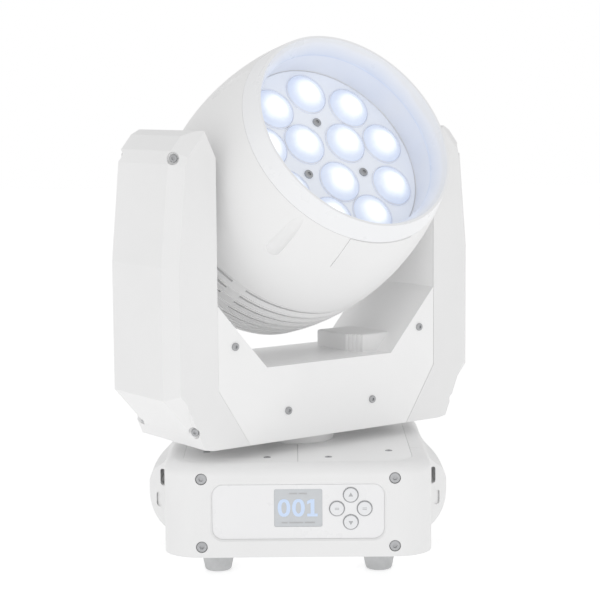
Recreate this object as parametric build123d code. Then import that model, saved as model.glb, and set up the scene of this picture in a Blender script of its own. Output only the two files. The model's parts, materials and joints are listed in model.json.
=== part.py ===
from build123d import *
from math import atan, cos, degrees, hypot, pi, radians, sin
import os

# Moving head wash light: base, pan yoke and tilting head. Millimetres, +Z up.
# The origin is on the floor, on the pan axis. The control panel faces -Y.
# Yoke pieces are drawn with the arms along X, then turned by PAN_REST.
# Head pieces are drawn with the beam along +Z, then tipped by TILT_REST.

# ---- pose at rest, degrees
PAN_REST = 36.0
TILT_REST = 57.4

# ---- clearances
RUNNING = 0.05        # shaft in a bearing, on the radius
GAP = 0.4             # between pieces that move apart
SEAM = 0.3            # between covers that meet
SCREW_FIT = 0.25      # screw shank in a clearance hole, on the radius
LENS_FIT = 0.15       # lens in its hole, on the radius
BELT_SIDE = 0.4       # belt to each rim of its pulleys

# ---- base
BASE_W = 227.0
BASE_D = 230.0
BASE_Z0 = 16.4        # underside of the tray
BASE_TOP = 96.0
BASE_CORNER = 30.0
BASE_EDGE = 10.0      # rounding of the top edge
BASE_WALL = 2.5
TRAY_T = 2.0
COVER_IN_X = 16.5     # from the sides of the base to the top covers
COVER_IN_Y = 10.0
COVER_W = BASE_W - 2 * COVER_IN_X
COVER_D = BASE_D - 2 * COVER_IN_Y
COVER_T = 2.5
COVER_CORNER = 22.0
COVER_SCREW_SUNK = 1.0
LEDGE = 4.0
LEDGE_T = 2.5
FOOT_X = BASE_W / 2 - 45.0
FOOT_Y = BASE_D / 2 - 27.0
FOOT_R = 14.4
FOOT_TAPER = 3.4
FOOT_SCREW_R = 2.0

# ---- carrying handles at the sides of the base
HANDLE_LEN = 100.0
GRIP_R = 33.0
GRIP_X = BASE_W / 2 - 13.0
GRIP_Z = 53.5
GRIP_WALL = 4.0
FAIRING = 34.5        # the grip runs out into the side wall this far above its middle
FINGER_W = 10.0
FINGER_LEN = 54.0
GRIP_SLOT_W = 5.0
GRIP_SLOT_H = 15.0
GRIP_SLOT_Z = 69.0
GRIP_DISH_H = 13.0
GRIP_DISH_Z = 48.0
GRIP_DISH = 1.6       # depth of the lower recess

# ---- control panel
PANEL_W = 144.0
PANEL_Z0 = 32.0
PANEL_Z1 = 78.0
PANEL_CORNER = 9.0
PANEL_T = 2.5
PANEL_SUNK = 1.6
PANEL_RIM = 1.5       # bevel round the opening that the panel sits in
PANEL_LIP = 3.5       # flange behind the opening's edge
WINDOW_W = 40.4
WINDOW_H = 32.3
WINDOW_Z = 58.2
BUTTON_R = 5.8
BUTTON_X = 44.0
BUTTON_Z = 57.5
BUTTON_STEP = 11.6
BUTTON_OUT = 1.6
BUTTON_TRAVEL = 0.8
CORNER_SCREW_X = BASE_W / 2 - 32.5
CORNER_SCREW_Z = (83.4, 25.5)
CORNER_SCREW_SUNK = 3.0
SCREW_HEAD_R = 4.7
BOARD_T = 1.6

# ---- connector panel at the rear
SOCKET_PANEL_W = 148.0
SOCKET_PANEL_Z0 = 30.0
SOCKET_PANEL_Z1 = 80.0
SOCKET_Z = 55.0
DATA_X = (-56.0, -22.0)
POWER_IN_X = 20.0
POWER_OUT_X = 54.0
DATA_R = 11.5
POWER_R = 12.0
POWER_DEPTH = 26.0
PLUG_FLANGE = (26.0, 31.0)
FLANGE_T = 1.4

# ---- mounting holes in the tray, for a clamp bracket
BRACKET_X = 35.0
BRACKET_Y = 53.0
BRACKET_BOLT_R = 3.0
SAFETY_Y = BASE_D / 2 - 27.0
SAFETY_R = 6.5

# ---- pan axis
POST_R = 14.0
POST_BORE = POST_R - 3.0
POST_FLANGE_R = POST_R + 13.0
SHOULDER_R = POST_R + 5.0
BEARING_R = POST_R + 7.0
COLLAR_BORE = BEARING_R + 2.0
COLLAR_R = COLLAR_BORE + 9.0
PULLEY_Z0 = 114.0
BELT_W = 10.0
BELT_T = 1.6
BELT_LIP = 1.0
TOOTH_PITCH = 3.0
PAN_TEETH = 80
TILT_TEETH = 60
PINION_TEETH = 16
MOTOR_SIDE = 56.4
MOTOR_SHAFT_R = 3.175
MOTOR_CORNER = 5.0

# ---- yoke, seen from the front: X across the arms, Z up
YOKE_Z0 = 107.0
YOKE_D = 100.0
PLATE_T = 2.0
PLATE_SUNK = 0.3      # the plates sit this much behind the arm covers' faces
BEAM_TOP = 172.0
BEAM_TOP_X = 67.6
BEAM_FOOT_X = 85.0
ARM_IN = 117.0
ARM_OUT = 165.0
ARM_KNEE_Z = 228.0    # the inner slope ends here
SEAM_KNEE_Z = 157.0
ARM_FOOT_Z = 152.0
ARM_LEAN_Z = 262.0
ARM_LEAN = 8.0
ARM_SHOULDER_Z = 350.0
ARM_TOP = 373.0
ARM_WALL = 2.5
ARM_CHAMFER = 10.5
WELL_SCREW_R = 3.4     # screws sunk in the arms' outer corners
ARM_WELL_R = 5.4
ARM_WELL_DEEP = 6.0
CHASSIS_T = 2.5
PAN_MOTOR_X = 71.5
CAP_TOP = 187.5
CAP_X0 = 43.0
CAP_X1 = 95.0
CAP_Y0 = -29.0
CAP_Y1 = 27.0
CAP_CUT_X = 9.0       # the cap's fluted front corner
CAP_CUT_Y = 14.0

# ---- tilt axis
PIVOT_Z = 317.0
TILT_SHAFT_R = 10.0
TILT_SHAFT_BORE = TILT_SHAFT_R - 3.5
TILT_BEARING_R = TILT_SHAFT_R + 6.0
TILT_BEARING_W = 7.0
TILT_BELT_X = 146.0   # middle of the tilt belt, on the side of -X
TILT_MOTOR_Z = 184.0
TILT_MOTOR_L = 28.0
BRACKET_T = 2.0

# ---- head: radius r, distance l forward of the tilt axis along the beam
RIM_R = 93.5
RIM_L = 103.5
BELLY_R = 112.0
TAIL_R = 94.0
TAIL_L = -97.0
CROWN_R = 66.0
CROWN_L = -113.0
HEAD_WALL = 3.5
HEAD_SPLIT = -17.0
SCOOP_R = 6.8
SCOOP_L0 = 42.0
SCOOP_L1 = 84.0
SCOOP_DEEP = 5.0
SCOOP_WALL = 2.2
BEZEL_IN_R = 85.0
BEZEL_IN_L = 88.0
WELL_R = 88.0
LOUVRES = 6
LOUVRE_STEP = 1.6
LOUVRE_SLOT = 3.4

# ---- lenses and their sliding plate
LENS_L = 58.8
LENS_PLATE_T = 2.5
LENS_R = 19.0
LENS_SIDE = 1.6
LENS_DOME = 6.2
OUTER_RING = 62.8
OUTER_COUNT = 9
INNER_RING = 25.3
INNER_COUNT = 3
PLATE_SCREW_RING = 34.0
PLATE_SCREW_R = 4.0
ROD_RING = 74.0
ROD_R = 2.5
NUT_R = 5.0
NUT_L = 40.0
ZOOM_SCREW_R = 2.5
ZOOM_SCREW_TIP = 51.0

# ---- inside of the head
LED_L = 22.0
SINK_R = 80.0
SINK_T = 8.0
FIN_R = 58.0
FIN_L = 46.0
FIN_T = 1.8
FIN_COUNT = 13
FAN_L = -66.0
FAN_SIDE = 80.0
FAN_T = 20.0
FAN_RING = 50.6       # the fan's bolt holes, and the screws in the crown
CHASSIS_L = 16.0

YOKE_AT = Rot(0, 0, PAN_REST)
HEAD_AT = YOKE_AT * Pos(0, 0, PIVOT_Z) * Rot(TILT_REST, 0, 0)
FRONT_Y = -BASE_D / 2
PLATE_Y = YOKE_D / 2 - PLATE_SUNK
YOKE_IN = YOKE_D / 2 - ARM_WALL
BIG = 600.0

os.makedirs("parts", exist_ok=True)


def save(name, shape, at=Location()):
    """Write one node, placed in the frame of the whole object."""
    solids = shape.solids() if not isinstance(shape, list) else [s for p in shape for s in p.solids()]
    placed = [at * s for s in solids]
    export_step(Compound(children=placed) if len(placed) > 1 else placed[0], f"parts/{name}.step")


def block(x0, x1, y0, y1, z0, z1):
    return Pos((x0 + x1) / 2, (y0 + y1) / 2, (z0 + z1) / 2) * Box(x1 - x0, y1 - y0, z1 - z0)


def rod(r, z0, z1, x=0.0, y=0.0):
    """An upright cylinder."""
    return Pos(x, y, (z0 + z1) / 2) * Cylinder(r, z1 - z0)


def rod_y(r, y0, y1, x=0.0, z=0.0):
    return Pos(x, (y0 + y1) / 2, z) * Rot(90, 0, 0) * Cylinder(r, y1 - y0)


def rod_x(r, x0, x1, y=0.0, z=0.0):
    return Pos((x0 + x1) / 2, y, z) * Rot(0, 90, 0) * Cylinder(r, x1 - x0)


def slab(sketch, z0, z1):
    return Pos(0, 0, z0) * extrude(sketch, z1 - z0)


def upright(sketch, y0, y1):
    """A sketch drawn as (x, z), given its depth from y0 to y1."""
    return Pos(0, y0, 0) * extrude(Plane.XZ * sketch, y1 - y0, dir=(0, 1, 0))


def outline(points):
    return Polygon(*points, align=None)


def rounded(w, d, r):
    return RectangleRounded(w, d, r)


def around(ring, angle):
    return Pos(ring * cos(radians(angle)), ring * sin(radians(angle)), 0)


def mirrored(piece):
    return mirror(piece, Plane.YZ)


def screw_head(r, h):
    """A pan head with a hexagon socket, its seat at z=0."""
    head = Pos(0, 0, h / 2) * Cylinder(r, h)
    head = fillet(head.edges().group_by(Axis.Z)[-1], h * 0.4)
    socket = Pos(0, 0, h * 0.4) * extrude(RegularPolygon(r * 0.45, 6), h)
    return head - socket


def screw(r_head, h, r_shank, length):
    return screw_head(r_head, h) + rod(r_shank, -length, h * 0.3)


# ---------------------------------------------------------------- base

TRAY_TOP = BASE_Z0 + TRAY_T
LEDGE_TOP = BASE_TOP - COVER_T


def base_shell():
    """The whole rounded box of the base, before it is divided front and rear."""
    outer = slab(rounded(BASE_W, BASE_D, BASE_CORNER), BASE_Z0, BASE_TOP)
    outer = fillet(outer.edges().group_by(Axis.Z)[-1], BASE_EDGE)
    inner_plan = rounded(BASE_W - 2 * BASE_WALL, BASE_D - 2 * BASE_WALL, BASE_CORNER - BASE_WALL)
    inner = slab(inner_plan, BASE_Z0 - 1, LEDGE_TOP - LEDGE_T)
    inner = fillet(inner.edges().group_by(Axis.Z)[-1], BASE_EDGE - BASE_WALL - LEDGE_T)
    seat_plan = rounded(COVER_W + 2 * SEAM, COVER_D + 2 * SEAM, COVER_CORNER + SEAM)
    mouth_plan = rounded(COVER_W - 2 * LEDGE, COVER_D - 2 * LEDGE, COVER_CORNER - LEDGE)
    seat = slab(seat_plan, LEDGE_TOP, BASE_TOP + 1)
    mouth = slab(mouth_plan, BASE_Z0, BASE_TOP)
    return outer - inner - seat - mouth


def handle_window(gap=0.0):
    """The stretch of the side walls that the handle moulding on +X takes."""
    half = HANDLE_LEN / 2 + gap
    return block(COVER_W / 2 - LEDGE - BASE_CORNER, BASE_W, -half, half, 0, BASE_TOP + 1)


def housing_shell():
    """The base shell with the places of both handles left free."""
    gap = handle_window(SEAM)
    return base_shell() - gap - mirrored(gap)


def corner_screw_places():
    return [(x, z) for x in (-CORNER_SCREW_X, CORNER_SCREW_X) for z in CORNER_SCREW_Z]


def tray_plan():
    inset = 2 * (BASE_WALL + SEAM)
    return rounded(BASE_W - inset, BASE_D - inset, BASE_CORNER - BASE_WALL)


def bracket_places():
    return [(x, y) for x in (-BRACKET_X, BRACKET_X) for y in (-BRACKET_Y, BRACKET_Y)]


def foot_places():
    return [(x, y) for x in (-FOOT_X, FOOT_X) for y in (-FOOT_Y, FOOT_Y)]


def base_tray():
    tray = slab(tray_plan(), BASE_Z0, TRAY_TOP)
    for x, y in bracket_places():
        tray -= rod(BRACKET_BOLT_R, BASE_Z0 - 1, TRAY_TOP + 1, x, y)
    tray -= rod(SAFETY_R, BASE_Z0 - 1, TRAY_TOP + 1, 0, SAFETY_Y)
    tray -= rod(POST_BORE, BASE_Z0 - 1, TRAY_TOP + 1)
    for x, y in foot_places():
        tray -= rod(FOOT_SCREW_R + SCREW_FIT, BASE_Z0 - 1, TRAY_TOP + 1, x, y)
    return tray


def panel_hole(width, z0, z1, corner, y0, y1):
    face = Pos(0, (z0 + z1) / 2) * rounded(width + 2 * SEAM, z1 - z0 + 2 * SEAM, corner + SEAM)
    return upright(face, y0, y1)


def base_front_housing():
    front = housing_shell() & block(-BIG, BIG, -BIG, 0, 0, BIG)
    front -= panel_hole(PANEL_W, PANEL_Z0, PANEL_Z1, PANEL_CORNER, FRONT_Y - 1, FRONT_Y + BASE_WALL + 1)
    rim = []
    for e in front.edges():
        c = e.center()
        if abs(c.Y - FRONT_Y) < 0.01 and abs(c.X) < PANEL_W / 2 + 1 and PANEL_Z0 - 1 < c.Z < PANEL_Z1 + 1:
            rim.append(e)
    front = chamfer(rim, PANEL_RIM)
    # The corner screws seat in sunk pads with bosses behind them.
    keep = slab(rounded(BASE_W - 2, BASE_D - 2, BASE_CORNER - 1), TRAY_TOP, LEDGE_TOP - 0.1)
    for x, z in corner_screw_places():
        front -= rod_y(SCREW_HEAD_R + SCREW_FIT, FRONT_Y - 1, FRONT_Y + CORNER_SCREW_SUNK, x, z)
        front += rod_y(SCREW_HEAD_R + 1.6, FRONT_Y + CORNER_SCREW_SUNK, FRONT_Y + 14, x, z) & keep
        front -= rod_y(1.5, FRONT_Y + 2, FRONT_Y + 13, x, z)
    return front


def base_rear_housing():
    rear = housing_shell() & block(-BIG, BIG, 0, BIG, 0, BIG)
    return rear - panel_hole(SOCKET_PANEL_W, SOCKET_PANEL_Z0, SOCKET_PANEL_Z1, 4, 0, BASE_D)


def grip_body(inset):
    """The D-shaped grip on +X, bulging in plan, its surface moved in by inset."""
    x0 = BASE_W / 2 - BASE_WALL / 2
    wall = BASE_W / 2
    face = Pos(GRIP_X, GRIP_Z) * Circle(GRIP_R - inset)
    face &= Pos(x0 + GRIP_R, GRIP_Z) * Rectangle(2 * GRIP_R, 3 * GRIP_R)
    if not inset:
        turn = GRIP_R * cos(radians(45))
        face += outline([(x0, GRIP_Z), (x0, GRIP_Z + FAIRING), (wall, GRIP_Z + FAIRING),
                         (wall + 3, GRIP_Z + FAIRING - 4.5), (GRIP_X + turn, GRIP_Z + turn)])
    half = HANDLE_LEN / 2 - 1 - inset
    x1 = GRIP_X + GRIP_R - inset
    bulge = ThreePointArc((x0 - 6, -half), (x1, 0), (x0 - 6, half))
    plan = make_face(bulge + Line((x0 - 6, half), (x0 - 6, -half)))
    return upright(face, -half, half) & slab(plan, 0, BASE_TOP)


def side_handle():
    """The handle moulding on +X: a stretch of the side wall and the hollow grip on it."""
    wall = base_shell() & handle_window()
    hollow = grip_body(GRIP_WALL) & block(BASE_W / 2, BASE_W, -BIG, BIG, 0, BIG)
    mouth = block(BASE_W / 2, BASE_W / 2 + FINGER_W, -FINGER_LEN / 2, FINGER_LEN / 2, 0, GRIP_Z)
    grip = grip_body(0.0) - hollow - mouth
    # At each end an upright slot into the grip, and a shallow recess below it.
    slot_x = BASE_W / 2 + GRIP_SLOT_W
    dish_x = slot_x + GRIP_SLOT_W - 1
    slot = Pos(slot_x, GRIP_SLOT_Z) * SlotOverall(GRIP_SLOT_H, GRIP_SLOT_W, rotation=90)
    dish = Pos(dish_x, GRIP_DISH_Z) * SlotOverall(GRIP_DISH_H, GRIP_SLOT_W, rotation=90)
    grip -= upright(slot, -BASE_D / 2, BASE_D / 2)
    shallow = upright(dish, -BASE_D / 2, BASE_D / 2) - grip_body(GRIP_DISH)
    return wall + (grip - shallow)


def cover_screw_places():
    near = [(26.0, COVER_D / 2 - 18), (COVER_W / 2 - 18.5, COVER_D / 2 - 43)]
    return [(i * x, j * y) for x, y in near for i in (-1, 1) for j in (-1, 1)]


def top_cover():
    """The cover on +X; the two meet on x=0."""
    plan = rounded(COVER_W, COVER_D, COVER_CORNER) & (Pos(SEAM / 2 + BASE_W / 2, 0) * Rectangle(BASE_W, BIG))
    cover = slab(plan, LEDGE_TOP, BASE_TOP) - rod(SHOULDER_R + 2, LEDGE_TOP - 1, BASE_TOP + 1)
    for x, y in cover_screw_places():
        if x > 0:
            cover -= rod(1.5 + SCREW_FIT, LEDGE_TOP - 1, BASE_TOP + 1, x, y)
            cover -= rod(3.4, BASE_TOP - COVER_SCREW_SUNK, BASE_TOP + 1, x, y)
    return cover


def button_places():
    return {
        "up": (BUTTON_X, BUTTON_Z + BUTTON_STEP),
        "down": (BUTTON_X, BUTTON_Z - BUTTON_STEP),
        "left": (BUTTON_X - BUTTON_STEP, BUTTON_Z),
        "right": (BUTTON_X + BUTTON_STEP, BUTTON_Z),
    }


PANEL_Y0 = FRONT_Y + PANEL_SUNK
PANEL_Y1 = PANEL_Y0 + PANEL_T
BOARD_Y0 = PANEL_Y1 + 9.0


def control_panel():
    mid_z = (PANEL_Z0 + PANEL_Z1) / 2
    face = Pos(0, mid_z) * rounded(PANEL_W, PANEL_Z1 - PANEL_Z0, PANEL_CORNER)
    face -= Pos(0, WINDOW_Z) * rounded(WINDOW_W, WINDOW_H, 1.5)
    for x, z in button_places().values():
        face -= Pos(x, z) * Circle(BUTTON_R + GAP)
    panel = upright(face, PANEL_Y0, PANEL_Y1)
    # A flange behind the panel's edge bears on the inside of the housing.
    lip = Pos(0, mid_z) * rounded(PANEL_W + 2 * PANEL_LIP, PANEL_Z1 - PANEL_Z0 + 2 * PANEL_LIP, PANEL_CORNER)
    lip -= Pos(0, mid_z) * rounded(PANEL_W - 4, PANEL_Z1 - PANEL_Z0 - 4, PANEL_CORNER - 2)
    return panel + upright(lip, FRONT_Y + BASE_WALL, PANEL_Y1 + 1)


def display_module():
    glass = upright(Pos(0, WINDOW_Z) * rounded(WINDOW_W - 0.2, WINDOW_H - 0.2, 1.4), PANEL_Y0 + 0.4, PANEL_Y1)
    body = upright(Pos(0, WINDOW_Z) * Rectangle(WINDOW_W + 6, WINDOW_H + 2), PANEL_Y1, BOARD_Y0)
    return glass + body


def control_board():
    board = block(-66, 66, BOARD_Y0, BOARD_Y0 + BOARD_T, 34, 77)
    switch_y = PANEL_Y1 + 1 + BUTTON_TRAVEL + GAP + 3
    for x, z in button_places().values():
        board += block(x - 3, x + 3, switch_y, BOARD_Y0 + 0.2, z - 3, z + 3)
    return board


def button(x, z):
    """A round cap with a flange behind the panel and a stem towards its switch."""
    cap = rod_y(BUTTON_R, PANEL_Y0 - BUTTON_OUT, PANEL_Y1 + GAP, x, z)
    cap = fillet(cap.edges().group_by(Axis.Y)[0], 0.9)
    flange = rod_y(BUTTON_R + 1.1, PANEL_Y1 + GAP, PANEL_Y1 + GAP + 1, x, z)
    stem = rod_y(1.6, PANEL_Y1 + GAP, PANEL_Y1 + GAP + 3.4, x, z)
    return cap + flange + stem


def connector_panel():
    y1 = BASE_D / 2 - PANEL_SUNK
    mid_z = (SOCKET_PANEL_Z0 + SOCKET_PANEL_Z1) / 2
    face = Pos(0, mid_z) * rounded(SOCKET_PANEL_W, SOCKET_PANEL_Z1 - SOCKET_PANEL_Z0, 4)
    for x in DATA_X:
        face -= Pos(x, SOCKET_Z) * Circle(DATA_R + 0.5)
    for x in (POWER_IN_X, POWER_OUT_X):
        face -= Pos(x, SOCKET_Z) * Circle(POWER_R + 0.5)
    panel = upright(face, y1 - 2, y1)
    lip = Pos(0, mid_z) * rounded(SOCKET_PANEL_W + 7, SOCKET_PANEL_Z1 - SOCKET_PANEL_Z0 + 7, 5)
    lip -= Pos(0, mid_z) * rounded(SOCKET_PANEL_W - 3, SOCKET_PANEL_Z1 - SOCKET_PANEL_Z0 - 3, 3)
    return panel + upright(lip, y1 - 3, min(y1, BASE_D / 2 - BASE_WALL))


def data_socket(x, pins):
    """A chassis socket: square flange, barrel, hollow mouth and its contacts."""
    y1 = BASE_D / 2 - PANEL_SUNK
    flange = upright(Pos(x, SOCKET_Z) * rounded(*PLUG_FLANGE, 2), y1, y1 + FLANGE_T)
    barrel = rod_y(DATA_R, y1 - 24, y1 + FLANGE_T, x, SOCKET_Z)
    socket = flange + barrel - rod_y(DATA_R - 2.3, y1 - 14, y1 + 3, x, SOCKET_Z)
    if pins:
        contacts = [rod_y(1.0, y1 - 15, y1 - 3, x + 4.5 * sin(radians(a)), SOCKET_Z + 4.5 * cos(radians(a)))
                    for a in (60, 180, 300)]
    else:
        core = rod_y(8.0, y1 - 15, y1 - 1, x, SOCKET_Z)
        for a in (60, 180, 300):
            core -= rod_y(1.3, y1 - 12, y1, x + 4.5 * sin(radians(a)), SOCKET_Z + 4.5 * cos(radians(a)))
        contacts = [core]
    for piece in contacts:
        socket += piece
    return socket


def power_socket(x, keys):
    """A locking round mains connector with a keyed mouth."""
    y1 = BASE_D / 2 - PANEL_SUNK
    flange = upright(Pos(x, SOCKET_Z) * rounded(*PLUG_FLANGE, 2), y1, y1 + FLANGE_T)
    barrel = rod_y(POWER_R, y1 - POWER_DEPTH, y1 + FLANGE_T, x, SOCKET_Z)
    socket = flange + barrel - rod_y(POWER_R - 2, y1 - POWER_DEPTH + 10, y1 + 3, x, SOCKET_Z)
    core = rod_y(7.0, y1 - 17, y1 - 1.5, x, SOCKET_Z)
    for k in range(3):
        a = radians(120 * k + (60 if keys else 0))
        core -= Pos(x + 4 * sin(a), y1 - 6, SOCKET_Z + 4 * cos(a)) * Box(1.4, 12, 3.2)
    key = block(x - 1.5, x + 1.5, y1 - 16.5, y1 - 2, SOCKET_Z + 8.2, SOCKET_Z + 10.6)
    return socket + core + key


def foot(x, y):
    """A tapered rubber foot with a sunk screw."""
    body = Pos(x, y, BASE_Z0 / 2) * Cone(FOOT_R - FOOT_TAPER, FOOT_R, BASE_Z0)
    body = fillet(body.edges().group_by(Axis.Z)[0], 2.0)
    return body - rod(4.5, -1, BASE_Z0 - 6, x, y) - rod(FOOT_SCREW_R, 0, BASE_Z0 + 1, x, y)


SUPPLY_W = 140.0
SUPPLY_H = 36.0
SUPPLY_Y0 = POST_FLANGE_R + 11.0
SUPPLY_Y1 = BASE_D / 2 - PANEL_SUNK - POWER_DEPTH - 9.4
SUPPLY_SLOTS = 12


def power_supply():
    half = SUPPLY_W / 2
    top = TRAY_TOP + SUPPLY_H
    case = block(-half, half, SUPPLY_Y0, SUPPLY_Y1, TRAY_TOP, top)
    case = fillet(case.edges().filter_by(Axis.Z), 2)
    pitch = (SUPPLY_W - 8) / SUPPLY_SLOTS
    for k in range(SUPPLY_SLOTS):
        x = pitch * (k + 0.5 - SUPPLY_SLOTS / 2)
        case -= block(x - 1.5, x + 1.5, SUPPLY_Y0 + 5, SUPPLY_Y1 - 5, top - 6, top + 1)
    return case


# ---------------------------------------------------------------- pan axis

def pitch_radius(teeth):
    return teeth * TOOTH_PITCH / (2 * pi)


PULLEY_Z1 = PULLEY_Z0 + BELT_W + 2 * BELT_LIP
POST_TOP = PULLEY_Z1 + 4
COLLAR_TOP = YOKE_Z0 - GAP
SHOULDER_Z = BASE_TOP + 2.0
BEARING_TOP = PULLEY_Z0 - GAP


def timing_pulley(teeth, bore, width, lip):
    """A toothed pulley with a rim at each side, standing on z=0."""
    r = pitch_radius(teeth) - 0.4
    pulley = rod(r, 0, width + 2 * lip)
    for k in range(teeth):
        a = 360 / teeth * k
        pulley -= Rot(0, 0, a) * Pos(r, 0, lip + width / 2) * Cylinder(0.75, width)
    pulley += rod(r + 1.2, 0, lip) + rod(r + 1.2, width + lip, width + 2 * lip)
    return pulley - rod(bore, -1, width + 2 * lip + 1)


def pan_post():
    post = rod(POST_R, TRAY_TOP, POST_TOP) + rod(SHOULDER_R, TRAY_TOP, SHOULDER_Z)
    post += rod(POST_FLANGE_R, TRAY_TOP, TRAY_TOP + 4)
    return post - rod(POST_BORE, TRAY_TOP - 1, POST_TOP + 1)


def pan_collar():
    collar = rod(COLLAR_R, BASE_TOP, COLLAR_TOP) - rod(COLLAR_BORE, BASE_TOP - 1, COLLAR_TOP + 1)
    return chamfer(collar.edges().group_by(Axis.Z)[0].sort_by(SortBy.LENGTH)[-1], 1.0)


def pan_pulley():
    pulley = timing_pulley(PAN_TEETH, POST_R, BELT_W, BELT_LIP)
    for k in range(6):
        pulley -= around(25, 60 * k) * rod(6.5, -1, BELT_W + 2 * BELT_LIP + 1)
    return Pos(0, 0, PULLEY_Z0) * pulley


def pan_bearing():
    inner = POST_R + RUNNING
    seat = YOKE_Z0 + PLATE_T
    body = rod(BEARING_R, SHOULDER_Z + GAP, BEARING_TOP) + rod(BEARING_R + 6, seat, seat + 2.5)
    return body - rod(inner, 0, BIG)


def belt(teeth_a, teeth_b, distance):
    """A flat loop from a pulley at the origin, its rims' foot on z=0, to a second one along +X."""
    def loop(grow):
        ends = Circle(pitch_radius(teeth_a) + grow) + Pos(distance, 0) * Circle(pitch_radius(teeth_b) + grow)
        return make_hull(ends.edges())
    return slab(loop(BELT_T + 0.1) - loop(0.1), BELT_LIP + BELT_SIDE, BELT_LIP + BELT_W - BELT_SIDE)


def motor(length, shaft_bore):
    """A square stepper motor, its front face on z=0 and its body below."""
    body = slab(rounded(MOTOR_SIDE, MOTOR_SIDE, MOTOR_CORNER), -length, 0)
    waist = rounded(MOTOR_SIDE - 3, MOTOR_SIDE - 3, MOTOR_CORNER + 3)
    middle = slab(rounded(MOTOR_SIDE + 1, MOTOR_SIDE + 1, 1) - waist, -length + 8, -8)
    body -= middle
    body += rod(19, 0, 1.6)
    return body - rod(shaft_bore, -12, 2)


def pan_motor():
    body = Rot(180, 0, 0) * motor(BEAM_TOP - CHASSIS_T - PULLEY_Z1 - 4, MOTOR_SHAFT_R + RUNNING)
    return Pos(PAN_MOTOR_X, 0, PULLEY_Z1 + 4) * body


def pan_pinion():
    pinion = timing_pulley(PINION_TEETH, 0.5, BELT_W, BELT_LIP)
    shaft = rod(MOTOR_SHAFT_R, BELT_LIP, BELT_W + 2 * BELT_LIP + 4 + 11)
    return Pos(PAN_MOTOR_X, 0, PULLEY_Z0) * (pinion + shaft)


# ---------------------------------------------------------------- yoke

def head_space():
    """The space between the arms, seen from the front, up past their tops."""
    return outline([(-BEAM_TOP_X, BEAM_TOP), (BEAM_TOP_X, BEAM_TOP), (ARM_IN, ARM_KNEE_Z), (ARM_IN, BIG),
                    (-ARM_IN, BIG), (-ARM_IN, ARM_KNEE_Z)])


def beam_face():
    """The front plate of the crossbeam."""
    return outline([
        (-BEAM_FOOT_X, YOKE_Z0), (BEAM_FOOT_X, YOKE_Z0), (ARM_IN, SEAM_KNEE_Z), (ARM_IN, ARM_KNEE_Z),
        (BEAM_TOP_X, BEAM_TOP), (-BEAM_TOP_X, BEAM_TOP), (-ARM_IN, ARM_KNEE_Z), (-ARM_IN, SEAM_KNEE_Z)])


def plate_screw_places():
    spots = [(45.8, 132.6), (100.0, 192.7)]
    return spots + [(-x, z) for x, z in spots]


def yoke_plate(y0, y1):
    plate = upright(beam_face(), y0, y1)
    for x, z in plate_screw_places():
        plate -= rod_y(1.5 + SCREW_FIT, y0 - 1, y1 + 1, x, z)
    return plate


def yoke_chassis():
    """A folded sheet under the head: crossbeam top, two slopes and two arm plates."""
    sheet = offset(head_space(), CHASSIS_T, kind=Kind.INTERSECTION) - head_space()
    top = ARM_SHOULDER_Z - ARM_WALL - SEAM
    sheet &= Pos(0, top / 2) * Rectangle(BIG, top)
    chassis = upright(sheet, -YOKE_IN, YOKE_IN)
    chassis -= rod_x(TILT_SHAFT_R + 2, -BIG, BIG, 0, PIVOT_Z)
    return chassis


def yoke_bottom_plate():
    plate = block(-BEAM_FOOT_X + 2, BEAM_FOOT_X - 2, -YOKE_IN, YOKE_IN, YOKE_Z0, YOKE_Z0 + PLATE_T)
    return plate - rod(BEARING_R, YOKE_Z0 - 1, YOKE_Z0 + PLATE_T + 1)


def arm_outline(inset=0.0):
    """One arm on +X seen from the front, with the crossbeam end that it covers."""
    lean_x = ARM_OUT - ARM_LEAN
    points = [
        (0, YOKE_Z0), (ARM_IN + 6, YOKE_Z0), (ARM_OUT - 33.4, YOKE_Z0 + 1.5), (ARM_OUT - 29, YOKE_Z0 + 12),
        (ARM_OUT, ARM_FOOT_Z), (ARM_OUT, ARM_LEAN_Z), (lean_x, ARM_SHOULDER_Z - 4),
        (lean_x - 3, ARM_SHOULDER_Z + 7), (lean_x - 13, ARM_TOP - 4), (lean_x - 25, ARM_TOP),
        (ARM_IN + 11, ARM_TOP),
        (ARM_IN + 1, ARM_SHOULDER_Z + 2), (ARM_IN, ARM_SHOULDER_Z), (0, ARM_SHOULDER_Z)]
    face = outline(points)
    if inset:
        face = offset(face, -inset, kind=Kind.INTERSECTION)
    return face


def arm_block(inset):
    """The arm's outer body, its outer edges chamfered front and rear."""
    half = YOKE_D / 2 - inset
    body = upright(arm_outline(inset), -half, half)
    rim = []
    for e in body.edges():
        c = e.center()
        if abs(abs(c.Y) - half) < 0.01 and c.X > ARM_OUT - 19 and c.Z > ARM_FOOT_Z - 27:
            rim.append(e)
    return chamfer(rim, ARM_CHAMFER)


def arm_well_places():
    """Mouths of the screw wells in the front half of the arm on +X, as (x, y, z)."""
    y = YOKE_D / 2 - 7
    return [(ARM_OUT - ARM_LEAN - 2, -y, ARM_SHOULDER_Z + 1), (ARM_OUT - 26, -y - 2, ARM_FOOT_Z - 29)]


def along_well(piece, place):
    """Turn a piece drawn on +Z so that it points out of a screw well."""
    return Pos(*place) * Rot(0, 0, -45) * Rot(0, 90, 0) * piece


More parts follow.
